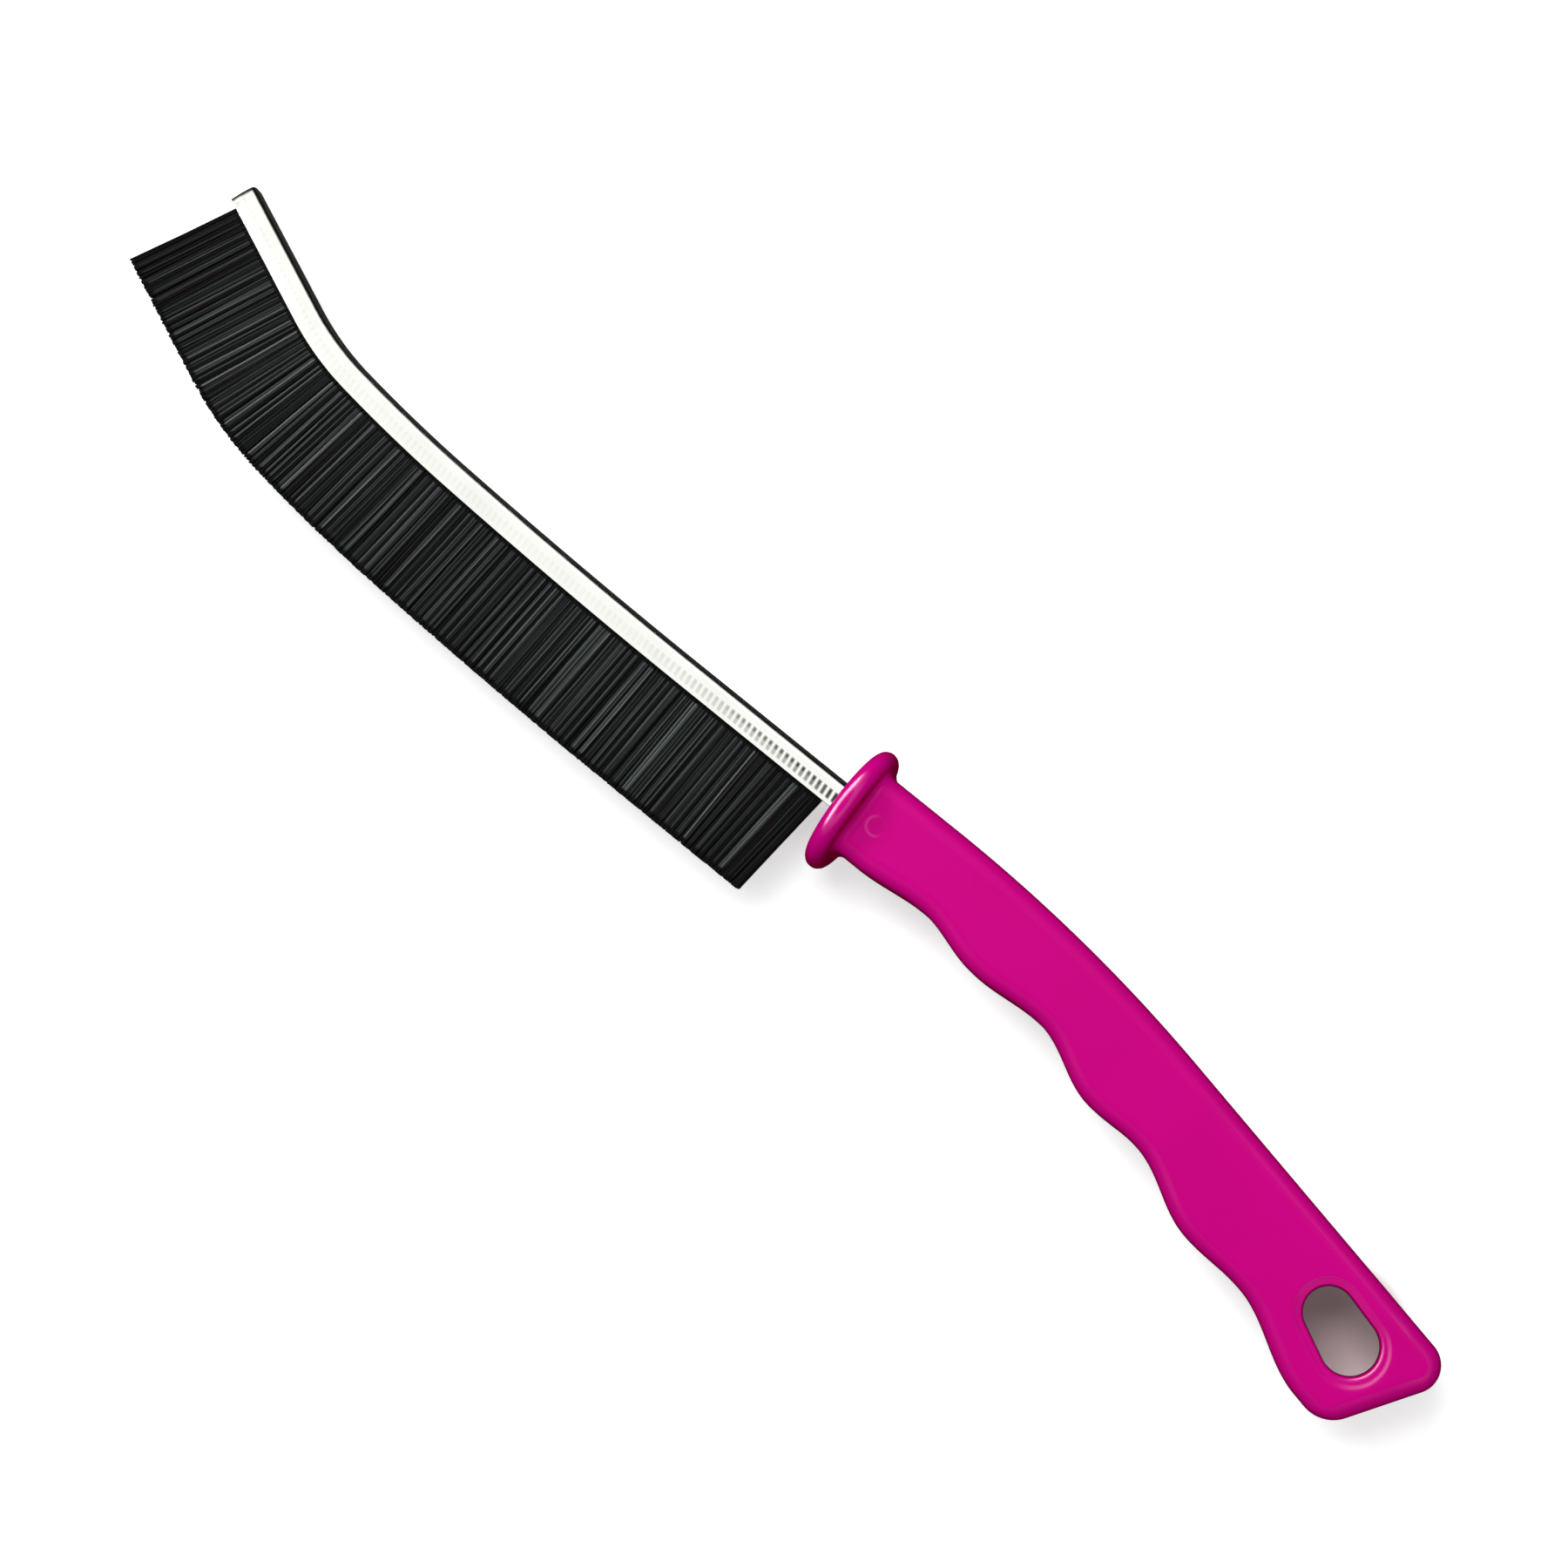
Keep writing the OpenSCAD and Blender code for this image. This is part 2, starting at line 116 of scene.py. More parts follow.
def cutPiece(piece, cutter, material, sharpAngle):
    # takes the cutter out of the piece and keeps the resulting mesh
    change = piece.modifiers.new("cut", "BOOLEAN")
    change.operation = "DIFFERENCE"
    change.solver = "EXACT"
    change.object = cutter
    bpy.context.view_layer.update()
    result = bpy.data.meshes.new_from_object(piece.evaluated_get(bpy.context.evaluated_depsgraph_get()))
    piece.modifiers.clear()
    piece.data = result
    result.name = piece.name
    finishMesh(result, material, sharpAngle)
    bpy.data.objects.remove(cutter)


# Shader expressions
class Wire:
    # One socket of a node. Arithmetic on it adds Math nodes, and node() adds any other node.
    def __init__(self, tree, socket=None):
        self.tree = tree
        self.socket = socket

    def node(self, kind, settings=None, sockets=None, output=0):
        # a new node with its settings and its sockets, each a wire or a value; returns one output
        made = self.tree.nodes.new(kind)
        for key, setting in (settings or {}).items():
            setattr(made, key, setting)
        for key, value in (sockets or {}).items():
            if isinstance(value, Wire):
                self.tree.links.new(value.socket, made.inputs[key])
            else:
                made.inputs[key].default_value = value
        return Wire(self.tree, made.outputs[output] if made.outputs else None)

    def math(self, operation, *values):
        # one Math node on up to three values, each a wire or a number
        return self.node("ShaderNodeMath", {"operation": operation}, dict(enumerate(values)))

    def __add__(self, other):
        return self.math("ADD", self, other)

    __radd__ = __add__

    def __sub__(self, other):
        return self.math("SUBTRACT", self, other)

    def __rsub__(self, other):
        return self.math("SUBTRACT", other, self)

    def __mul__(self, other):
        return self.math("MULTIPLY", self, other)

    __rmul__ = __mul__

    def __truediv__(self, other):
        return self.math("DIVIDE", self, other)

    def __pow__(self, other):
        return self.math("POWER", self, other)

    def larger(self, other):
        # the larger of two values
        return self.math("MAXIMUM", self, other)

    def smooth(self, low, high):
        # 0 below low, 1 above high, and an S curve between them
        return self.node(
            "ShaderNodeMapRange", {"interpolation_type": "SMOOTHSTEP"},
            {"Value": self, "From Min": low, "From Max": high})

    def fade(self, low, high):
        # 1 below low and 0 above high: one minus the S curve
        return 1.0 - self.smooth(low, high)

    def blend(self, first, second):
        # mixes two colours by this value; the colour sockets of a Mix node are 6, 7 and output 2
        return self.node(
            "ShaderNodeMix", {"data_type": "RGBA"},
            {"Factor": self, 6: first, 7: second}, output=2)

    def noise(self, scale, detail, stretch=(1.0, 1.0, 1.0)):
        # noise on object coordinates, in metres, with its own scale along each axis
        where = self.node("ShaderNodeTexCoord", output="Object")
        spread = self.node("ShaderNodeMapping", None, {"Vector": where, "Scale": stretch})
        return self.node("ShaderNodeTexNoise", None, {"Vector": spread, "Scale": scale, "Detail": detail})

    def part(self, axis):
        # one coordinate of a vector
        return self.node("ShaderNodeSeparateXYZ", None, {"Vector": self}, output=axis)

    def along(self, axis):
        # one object coordinate, in the part's frame but in millimetres
        return self.node("ShaderNodeTexCoord", output="Object").part(axis) * (1 / metresPerMm)

    def attribute(self, name):
        # a number that markPoints left at each point
        return self.node("ShaderNodeAttribute", {"attribute_name": name}, output="Fac")

    def bump(self, height, strength, distance):
        # the normal of a surface raised by height times distance, in metres
        return self.node(
            "ShaderNodeBump", None, {"Height": height, "Strength": strength, "Distance": distance})

    def principled(self, sockets):
        # the principled shader with these sockets
        return self.node("ShaderNodeBsdfPrincipled", None, sockets)


def emptyTree(owner):
    # clears the nodes of a material or world, and returns a wire to build its own with
    owner.use_nodes = True
    owner.node_tree.nodes.clear()
    return Wire(owner.node_tree)


def newMaterial(name, build):
    # build(wire) returns the shader that goes to the surface
    material = bpy.data.materials.new(name)
    wire = emptyTree(material)
    wire.node("ShaderNodeOutputMaterial", None, {"Surface": build(wire)})
    return material


# The path of the channel, from the flange to the tip
def arcRun(radius, angle):
    # a run on an arc: its length, radius times angle, and its radius
    return radius * math.radians(angle), radius


pathForm = {
    # each run is a length and a bend radius, and a straight run has no radius
    "runs": [(33.3, 0.0), arcRun(1216.0, 2.5), arcRun(308.0, 4.6), arcRun(53.0, 15.4), (24.1, 0.0)],
}
pathLength = sum(length for length, radius in pathForm["runs"])


def runPoint(point, heading, radius, d):
    # the place and heading at a distance d into a run from a point: point + d (cos h, -sin h) where it
    # is straight, and point + radius (sin turned - sin h, cos turned - cos h) with turned = h + d / radius
    if not radius:
        return point + d[..., None] * np.array([math.cos(heading), -math.sin(heading)]), heading + 0 * d
    turned = heading + d / radius
    out = np.stack([np.sin(turned), np.cos(turned)], -1) - [math.sin(heading), math.cos(heading)]
    return point + radius * out, turned


def pathAt(s):
    # point and heading (radians) at distances s; the first and the last run go on past the path's ends
    s = np.asarray(s, dtype=float)
    where, way = np.zeros(s.shape + (2,)), np.zeros(s.shape)
    point, heading, start = np.zeros(2), 0.0, 0.0
    for number, (length, radius) in enumerate(pathForm["runs"]):
        inside = (s >= start) | (number == 0)
        here, turned = runPoint(point, heading, radius, s - start)
        where[inside] = here[inside]
        way[inside] = turned[inside]
        point, heading = runPoint(point, heading, radius, np.array(length))
        start += length
    return where, way


def offPath(s, n, z):
    # the point at distance s along the path, n from it to the bristles, and z across
    where, way = pathAt(s)
    x = where[..., 0] + n * np.sin(way)
    y = where[..., 1] + n * np.cos(way)
    return np.stack(np.broadcast_arrays(x, y, z), -1)


# Steel of the channel
steelLook = {
    "clean": (0.955, 0.965, 0.91, 1.0), "stained": (0.90, 0.91, 0.86, 1.0),
    # mark is the painted dark reflection and grime in the crimp dents, also mixed in for the stains and the
    # painted shade
    "mark": (0.02, 0.022, 0.016, 1.0), "markPower": 0.7,
    "brush": (260.0, 4.0, (1.0, 9.0, 9.0)), "stain": (120.0, 3.0), "stainBand": (0.3, 0.8),
    "roughness": 0.1, "brushRoughness": 0.04, "markRoughness": 0.1, "bump": (0.05, 0.0003),
}


def steelShader(wire):
    # brushed along the channel; crimp is 1 in the bottom of a mark and mixes in the dark mark colour, a
    # painted dark reflection with some grime in the dents. The same attribute also brings in the stains, the
    # dark band at the sawn end and the painted dark reflection on the fold
    look = steelLook
    crimp = wire.attribute("crimp")
    brush = wire.noise(*look["brush"])
    stain = wire.noise(*look["stain"]).smooth(*look["stainBand"])
    clean = stain.blend(look["clean"], look["stained"])
    return wire.principled({
        "Base Color": (crimp ** look["markPower"]).blend(clean, look["mark"]),
        "Metallic": 1.0,
        "Roughness": look["roughness"] + look["brushRoughness"] * brush + look["markRoughness"] * crimp,
        "Normal": wire.bump(brush, *look["bump"]),
    })


# Channel
channelForm = {
    "height": 4.8, "width": 4.8, "wall": 0.7, "fold": 1.3, "pinch": 0.3, "pinchHeight": 1.9,
    "lipSteps": 12, "sideSteps": 8, "foldSteps": 8, "backSteps": 4,
    "tang": 26.0, "cornerRound": 0.6, "tipStretch": 1.2, "tipSteps": 12,
    "nearStep": 0.13, "farStep": 0.3, "nearTo": 36.0, "sharpAngle": 50.0,
}

# Crimp marks: shallow dents whose colour is darkened by a painted dark reflection with some grime. Each fade
# lists distances along the path and the strength of the marks there
crimpForm = {
    "pitch": 1.17, "halfWidth": 0.42, "crisp": 1.7, "depth": 0.03, "slant": 0.1,
    "low": -0.05, "middle": 0.75, "high": 1.8, "lowEdge": 0.2, "middleEdge": 0.3, "highEdge": 0.25,
    "first": 0.4, "firstEdge": 0.3, "tipEdge": 0.6, "even": 0.93, "uneven": 0.07, "marks": 400,
    "dotFade": [(0, 1.0), (13, 0.98), (17, 0.85), (23, 0.65), (26, 0.3), (34, 0.14), (45, 0.03), (200, 0.01)],
    "hatchFade": [(0, 1.0), (4, 0.95), (7, 0.66), (14, 0.4), (24, 0.25), (34, 0.1), (45, 0.02), (200, 0.01)],
}
crimpUneven = rng.uniform(-1, 1, crimpForm["marks"])

# Stains and painted shade: a dark band along the sawn end, a smudge beside it near the lips, and a painted
# dark reflection along the fold's corners
stainAndShadeForm = {
    "endDarkReach": 2.3, "endDarkWidth": 0.3, "endDarkAbove": -2.2,
    "smudgeFromEnd": 1.2, "smudgeLength": 0.7, "smudgeHeight": 1.6, "smudgeSpread": 0.9, "smudge": 0.45,
    "foldDarkBelow": -1.5, "foldDarkEdge": 0.3, "foldDarkOutside": 0.9, "foldDarkSpread": 0.4, "foldDark": 0.75,
}


def channelOutline(grow, top):
    # down one pinched side, round the two folds and up the other: points as (n, z)
    form = channelForm
    half = form["width"] / 2
    foldN = -form["height"] / 2 + form["fold"]
    bendN = form["height"] / 2 - form["pinchHeight"]
    topHalf = half - form["pinch"] * (top - bendN) / form["pinchHeight"]
    up = np.linspace(top, bendN, form["lipSteps"])
    side = np.stack([up, np.interp(up, [bendN, top], [half, topHalf]) + grow], -1)
    straight = np.linspace(bendN, foldN, form["sideSteps"] + 1)[1:-1]
    wall = np.stack([straight, np.full(len(straight), half + grow)], -1)
    a = np.radians(np.linspace(90, 180, form["foldSteps"]))
    bend = form["fold"] + grow
    corner = np.stack([foldN + bend * np.cos(a), half - form["fold"] + bend * np.sin(a)], -1)
    reach = (half - form["fold"]) * np.linspace(1, 0, form["backSteps"] + 1)[1:-1]
    back = np.stack([np.full(len(reach), foldN - form["fold"] - grow), reach], -1)
    one = np.concatenate([side, wall, corner, back])
    other = one[::-1] * [1, -1]
    return np.concatenate([one, other])


def crimpAt(s, n):
    # marks at even steps, 0 to 1: each has a dot on the body's side and a hatch on the lip's side,
    # which fade at their own rates away from the flange and vary a little from mark to mark
    form = crimpForm
    low, middle, high = form["low"], form["middle"], form["high"]
    slanted = s + form["slant"] * (n - low)
    number = np.floor(slanted / form["pitch"]).astype(int) % form["marks"]
    away = np.abs(slanted / form["pitch"] % 1.0 - 0.5) * form["pitch"]
    mark = np.clip(form["crisp"] - form["crisp"] * away / form["halfWidth"], 0, 1)
    uneven = form["even"] + form["uneven"] * crimpUneven[number]
    dots = np.interp(s, *np.array(form["dotFade"]).T) * np.clip((n - low) / form["lowEdge"], 0, 1)
    hatch = np.interp(s, *np.array(form["hatchFade"]).T) * np.clip((high - n) / form["highEdge"], 0, 1)
    lipSide = np.clip((n - middle) / form["middleEdge"] + 0.5, 0, 1)
    ends = np.clip((s - form["first"]) / form["firstEdge"], 0, 1)
    ends = ends * np.clip((pathLength - s) / form["tipEdge"], 0, 1)
    return mark * uneven * (dots + (hatch - dots) * lipSide) * ends


def stainAndShadeAt(fromEnd, n, z):
    # the largest of the three, 0 to 1: the dark band at the sawn end, the smudge, a bell curve in both
    # directions, and the painted dark reflection on the fold's corners
    form = stainAndShadeForm
    endDark = np.clip(form["endDarkReach"] - fromEnd / form["endDarkWidth"], 0, 1) * (n > form["endDarkAbove"])
    lengthwise = (fromEnd - form["smudgeFromEnd"]) / form["smudgeLength"]
    upward = (n - form["smudgeHeight"]) / form["smudgeSpread"]
    smudge = form["smudge"] * np.exp(-lengthwise ** 2 - upward ** 2)
    # painted dark reflection along the outer corners of the fold
    foldDark = np.clip((form["foldDarkBelow"] - n) / form["foldDarkEdge"], 0, 1)
    foldDark = form["foldDark"] * foldDark * np.clip((np.abs(z) - form["foldDarkOutside"]) / form["foldDarkSpread"], 0, 1)
    return np.maximum(np.maximum(endDark, smudge), foldDark)


def channelStations():
    # distances along the path: close together where the marks are strong, further apart beyond them,
    # and drawing together by a sine over the rounded tip
    form = channelForm
    tip = pathLength - form["tipStretch"]
    return np.concatenate([
        [-form["tang"]],
        np.arange(0, form["nearTo"], form["nearStep"]),
        np.arange(form["nearTo"], tip, form["farStep"]),
        tip + form["tipStretch"] * np.sin(np.radians(np.linspace(0, 90, form["tipSteps"])))])


def buildChannel():
    # the U section carried along the path. Its tip stops at the end less r plus the root of
    # r squared - (r - up) squared, which rounds the back corner, and the marks sink its sides
    form = channelForm
    top = form["height"] / 2
    outer = channelOutline(0.0, top)
    section = np.concatenate([outer, channelOutline(-form["wall"], top)[::-1]])
    s = channelStations()
    stations = np.repeat(s[:, None], len(section), 1)
    n = np.repeat(section[None, :, 0], len(s), 0)
    z = np.repeat(section[None, :, 1], len(s), 0)
    r = form["cornerRound"]
    up = np.clip(n + top, 0, r)
    stations = np.minimum(stations, pathLength - r + np.sqrt(r ** 2 - (r - up) ** 2))
    crimp = crimpAt(stations, n)
    crimp[:, len(outer):] = 0
    z = z - np.sign(z) * crimpForm["depth"] * crimp
    points = offPath(stations, n, z).reshape(-1, 3)
    quads = loftQuads(len(s), len(section))
    piece = makePiece("steelChannel", points, [quads], brushedSteel, form["sharpAngle"])
    # the crimp attribute takes the marks, the stains, the dark band at the sawn end and the fold's painted
    # dark reflection
    markPoints(piece, "crimp", np.maximum(crimp, stainAndShadeAt(pathLength - stations, n, z)))
    return piece


brushedSteel = newMaterial("brushedSteel", steelShader)
channelPiece = buildChannel()
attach(channelPiece, "root")
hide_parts("channel")
print("channel made", len(channelPiece.data.polygons))


# Core wire, whose solid is kept and gets a finish
wireLook = {
    "dark": (0.50, 0.50, 0.50, 1.0), "light": (0.62, 0.62, 0.61, 1.0),
    "brush": (500.0, 3.0, (1.0, 6.0, 6.0)), "roughness": 0.3, "brushRoughness": 0.15,
}


def wireShader(wire):
    # drawn steel, whose noise is stretched along the wire
    look = wireLook
    brush = wire.noise(*look["brush"])
    return wire.principled({
        "Base Color": brush.blend(look["dark"], look["light"]),
        "Metallic": 1.0,
        "Roughness": look["roughness"] + look["brushRoughness"] * brush,
    })


coreWire = bpy.data.objects["core_wire"]
coreWire.data.materials.clear()
coreWire.data.materials.append(newMaterial("wireSteel", wireShader))
print("core wire finished")


# Black of the filaments
filamentLook = {
    "bluish": (0.0025, 0.004, 0.004, 1.0), "brownish": (0.0045, 0.0032, 0.0032, 1.0),
    # lit is the colour of a filament's painted highlight
    "lit": (0.128, 0.145, 0.137, 1.0), "roughness": 0.36, "toneRoughness": 0.15, "specular": 0.06,
}


def filamentShader(wire):
    # each filament has its own tone, from blue-grey black to brown black, and painted light: the lit colour,
    # a painted highlight, mixed in by its light
    look = filamentLook
    tone = wire.attribute("tone")
    dark = tone.blend(look["bluish"], look["brownish"])
    return wire.principled({
        "Base Color": wire.attribute("light").blend(dark, look["lit"]),
        "Roughness": look["roughness"] + look["toneRoughness"] * tone,
        "Specular IOR Level": look["specular"],
    })


# Filaments
filamentForm = {
    "sections": 5, "first": 3.3, "tipGap": 1.3, "rows": 8, "columns": 68, "loose": 0.3,
    "rowSpan": 2.1, "recess": 0.4, "rootDepth": 0.6, "trim": 20.2, "scatter": 0.13, "reach": 155.11,
    "radius": 0.19, "sides": 5, "bow": 0.12, "sharpAngle": 60.0,
    # angles in degrees: the fan across, the lean near the handle and the tip, and loose turns
    "fan": 4.6, "fanLoose": 0.5, "lean": 4.4, "leanFade": 14.0, "tipLean": 1.9, "tipFade": 8.0,
    "leanLoose": 0.3, "gather": 0.6, "gatherSpan": 1.5,
    "calm": [(106.0, 1.0), (111.0, 0.1), (127.0, 0.1), (132.0, 1.0)],
    # levels along each filament, as shares of its length, and how much painted light it has at each; none by
    # the root stands for the shadow of the channel's lips, and there is none at the tip
    "levels": [0.0, 0.078, 0.09, 0.5, 0.945, 0.965, 1.0],
    "levelLight": [0.0, 0.0, 0.8, 1.0, 0.8, 0.0, 0.0],
    # painted light: each strand's own share and painted glints, falling to nothing near the flange, in the
    # shade of the clumps' gaps and near the tip
    "ownLight": (0.25, 1.0), "glint": 0.9, "glintAbove": 0.955, "lightPower": 1.4,
    "firstShade": (0.7, 0.6), "tipDark": (0.9, 2.5), "gapShade": (0.2, 0.7),
    # the bed in the channel, round the core wire
    "wire": 1.4, "foldOver": 0.4, "clearance": 0.04, "bedSteps": 40, "bedTone": 0.5,
}

# Filaments stand in clumps of uneven width, whose tips lean together and which carry uneven painted light
clumpForm = {"count": 150, "from": 2.0, "before": -5.0, "width": (0.5, 1.9), "light": (0.45, 0.55)}
clumpWidths = rng.uniform(*clumpForm["width"], clumpForm["count"])
clumpEdges = np.concatenate([[clumpForm["before"]], clumpForm["from"] + np.cumsum(clumpWidths)])
clumpLight = clumpForm["light"][0] + clumpForm["light"][1] * rng.uniform(0, 1, len(clumpEdges))


def sectionSpan(section):
    # the start of a section of the strip, and its length: an even share of the strip
    form = filamentForm
    span = (pathLength - form["tipGap"] - form["first"]) / form["sections"]
    return form["first"] + section * span, span


def clumpAround(s):
    # the clump's number at each distance s, and its two edges
    clump = np.searchsorted(clumpEdges, s)
    return clump, clumpEdges[clump - 1], clumpEdges[clump]


def leanAt(s):
    # degrees from the path's normal: most at the handle and at the tip, fading evenly from both, plus
    # a turn towards the middle of the clump that is calmer in the bend
    form = filamentForm
    left, right = clumpAround(s)[1:]
    calm = np.interp(s, *np.array(form["calm"]).T)
    gather = form["gather"] * calm * ((right + left) / 2 - s) / (right - left)
    gather = gather * np.minimum(right - left, form["gatherSpan"])
    handle = form["lean"] * np.maximum(0, 1 - (s - form["first"]) / form["leanFade"])
    tip = form["tipLean"] * np.maximum(0, 1 - (pathLength - form["tipGap"] - s) / form["tipFade"])
    return handle + tip + gather


def strandPoints(section):
    # roots on a loose grid. Each strand's axis is (cos lean * normal + sin lean * tangent) * cos fan in
    # the plane and sin fan across, and its spine bows aside by 4 t (1 - t); rings of points stand on it
    form = filamentForm
    start, span = sectionSpan(section)
    column, row = np.meshgrid(np.arange(form["columns"]), np.arange(form["rows"]), indexing="ij")
    wobble = rng.uniform(-1, 1, (column.size, 6)).T
    s = start + (column.ravel() + 0.5 + form["loose"] * wobble[0]) * span / form["columns"]
    across = (row.ravel() + 0.5 + form["loose"] * wobble[1]) / form["rows"] * 2 - 1
    lean = np.radians(leanAt(s) + form["leanLoose"] * wobble[2])
    fan = np.radians(form["fan"] * across + form["fanLoose"] * wobble[3])
    length = form["rootDepth"] + form["recess"] + form["trim"] + form["scatter"] * wobble[4]
    bow = form["bow"] * wobble[5]
    root = channelForm["height"] / 2 - form["recess"] - form["rootDepth"]
    foot = offPath(s, root, across * form["rowSpan"] / 2)
    heading = pathAt(s)[1]
    normal = np.stack([np.sin(heading), np.cos(heading)], -1)
    tangent = np.stack([np.cos(heading), -np.sin(heading)], -1)
    flat = np.cos(lean)[:, None] * normal + np.sin(lean)[:, None] * tangent
    axis = np.concatenate([flat * np.cos(fan)[:, None], np.sin(fan)[:, None]], -1)
    side = np.cross(axis, [0.0, 0.0, 1.0])
    side /= np.linalg.norm(side, axis=1)[:, None]
    up = np.cross(side, axis)
    t = np.array(form["levels"])
    spine = foot[:, None, :] + axis[:, None, :] * (length[:, None] * t[None, :])[..., None]
    spine = spine + side[:, None, :] * (bow[:, None] * (4 * t * (1 - t))[None, :])[..., None]
    a = 2 * np.pi * np.arange(form["sides"]) / form["sides"]
    ring = np.cos(a)[None, :, None] * side[:, None, :] + np.sin(a)[None, :, None] * up[:, None, :]
    points = spine[:, :, None, :] + form["radius"] * ring[:, None, :, :]
    points[..., 0] = np.minimum(points[..., 0], form["reach"])
    return s, points.reshape(-1, 3)


def strandShades(s):
    # tone is random for each strand. Its painted light is the clump's times its own, some strands glint as
    # painted highlights, and it falls to 0 at the clump's edges and the strip's ends as painted shade;
    # levelLight shares it out along the strand
    form = filamentForm
    clump, left, right = clumpAround(s)
    tone = rng.uniform(0, 1, len(s))
    own = clumpLight[clump] * rng.uniform(*form["ownLight"], len(s))
    own = own + form["glint"] * (rng.uniform(0, 1, len(s)) > form["glintAbove"])
    fromFirst = (s - form["first"] - form["firstShade"][0]) / form["firstShade"][1]
    fromTip = (pathLength - form["tipGap"] - form["tipDark"][0] - s) / form["tipDark"][1]
    fromGap = np.minimum(s - left, right - s) / form["gapShade"][0] - form["gapShade"][1]
    own = own ** form["lightPower"] * np.clip(np.minimum(fromFirst, fromTip), 0, 1)
    own = own * np.clip(fromGap, 0, 1)
    light = own[:, None] * np.array(form["levelLight"])[None, :]
    return np.repeat(tone, len(form["levels"]) * form["sides"]), np.repeat(light.ravel(), form["sides"])


def strandFaces(count):
    # the sides of every tube as quads, and each end, of five corners, as a quad and a triangle
    levels, sides = len(filamentForm["levels"]), filamentForm["sides"]
    last = (levels - 1) * sides
    quads = np.concatenate([ringQuads(levels, sides), [[4, 3, 2, 1]], np.array([[1, 2, 3, 4]]) + last])
    triangles = np.array([[4, 1, 0], [last, last + 1, last + 4]])
    shift = np.arange(count)[:, None, None] * levels * sides
    return (quads[None] + shift).reshape(-1, 4), (triangles[None] + shift).reshape(-1, 3)


def filamentBed(section):
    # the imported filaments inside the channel, carried along the path round the bore of the wire
    form = filamentForm
    start, span = sectionSpan(section)
    wireN = -channelForm["height"] / 2 + channelForm["wall"] + form["foldOver"] + form["wire"] / 2
    top = channelForm["height"] / 2 - form["recess"]
    outer = channelOutline(-channelForm["wall"] - form["clearance"], top)
    turned = np.arctan2(outer[:, 1], outer[:, 0] - wireN)
    bore = form["wire"] / 2 + form["clearance"]
    inner = np.stack([wireN + bore * np.cos(turned), bore * np.sin(turned)], -1)
    s = np.linspace(start, start + span, form["bedSteps"])[:, None]
    points = np.concatenate([
        offPath(s, outer[None, :, 0], outer[None, :, 1]).reshape(-1, 3),
        offPath(s, inner[None, :, 0], inner[None, :, 1]).reshape(-1, 3)])
    around = len(outer)
    shift = len(s) * around
    end = shift - around
    sides = ringQuads(len(s), around)
    here = np.arange(around)
    after = (here + 1) % around
    front = np.stack([after, here, here + shift, after + shift], -1)
    rear = np.stack([here, after, after + shift, here + shift], -1) + end
    return points, np.concatenate([sides, sides[:, ::-1] + shift, front, rear])


def buildFilaments(section):
    # one section of the strip: its strands and its bed in one mesh, with a tone and a painted light at each
    # point
    form = filamentForm
    s, points = strandPoints(section)
    tone, light = strandShades(s)
    quads, triangles = strandFaces(len(s))
    bedPoints, bedQuads = filamentBed(section)
    faceGroups = [quads, bedQuads + len(points), triangles]
    name = "filaments_%d" % (section + 1)
    allPoints = np.concatenate([points, bedPoints])
    piece = makePiece(name, allPoints, faceGroups, darkFilament, form["sharpAngle"])
    markPoints(piece, "tone", np.concatenate([tone, np.full(len(bedPoints), form["bedTone"])]))
    markPoints(piece, "light", np.concatenate([light, np.zeros(len(bedPoints))]))
    return piece


darkFilament = newMaterial("darkFilament", filamentShader)
for number in range(filamentForm["sections"]):
    filaments = buildFilaments(number)
    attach(filaments, "root")
    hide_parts("bristles_%d" % (number + 1))
print("filaments made")


# Handle
handleForm = {
    "length": 135.6, "thickness": 13.0, "edge": 3.0, "backOffset": 7.6,
    "bendStart": 17.8, "bendRadius": 283.0, "bendAngle": 11.0,
    # ridges and grooves for the fingers: distance from the flange and width there
    "fingers": [(8, 15.1), (21.5, 13.95), (34.3, 16.15), (48.4, 14.5), (61.9, 17.85),
                (73.3, 16.35), (87.3, 19.65), (99.9, 18.35)],
    "buttSlant": 31.7, "buttWidth": 23.56, "backRound": 4.6, "fingerRound": 6.0, "edgeLeft": 0.1,
    "flange": 23.06, "flangeThickness": 3.7, "flangeShift": 0.6, "flangeFront": 0.3, "flangeTilt": 0.034,
    "fillet": 1.8, "neckGap": 0.3,
    "holeX": 115.9, "holeInset": 10.0, "holeAngle": 20.0, "holeSpan": 6.2,
    "holeFront": 4.2, "holeButt": 4.8,
    # the dish round the hole: how far it stands out from the hole and how deep it is there
    "dish": [(2.2, -0.1), (1.8, 0.0), (1.62, 0.02), (1.48, 0.05), (1.34, 0.1), (1.2, 0.17), (1.06, 0.24),
             (0.92, 0.29), (0.76, 0.33), (0.56, 0.37), (0.38, 0.43), (0.22, 0.54), (0.1, 0.72), (0.03, 0.95),
             (0.0, 1.2)],
    "dishReach": 0.5,
    "socketGap": 0.05, "socketEnd": 0.5, "socketFront": 1.0,
    "gripSteps": 290, "buttSteps": 22, "cornerSteps": 9, "flatSteps": 34, "sideSteps": 7,
    "frontSteps": 13, "frontFrom": 0.08, "frontTo": 0.97, "frontMiddle": 0.002,
    "rimSteps": 22, "filletSteps": 14, "holeSteps": 64, "sharpAngle": 30.0,
}


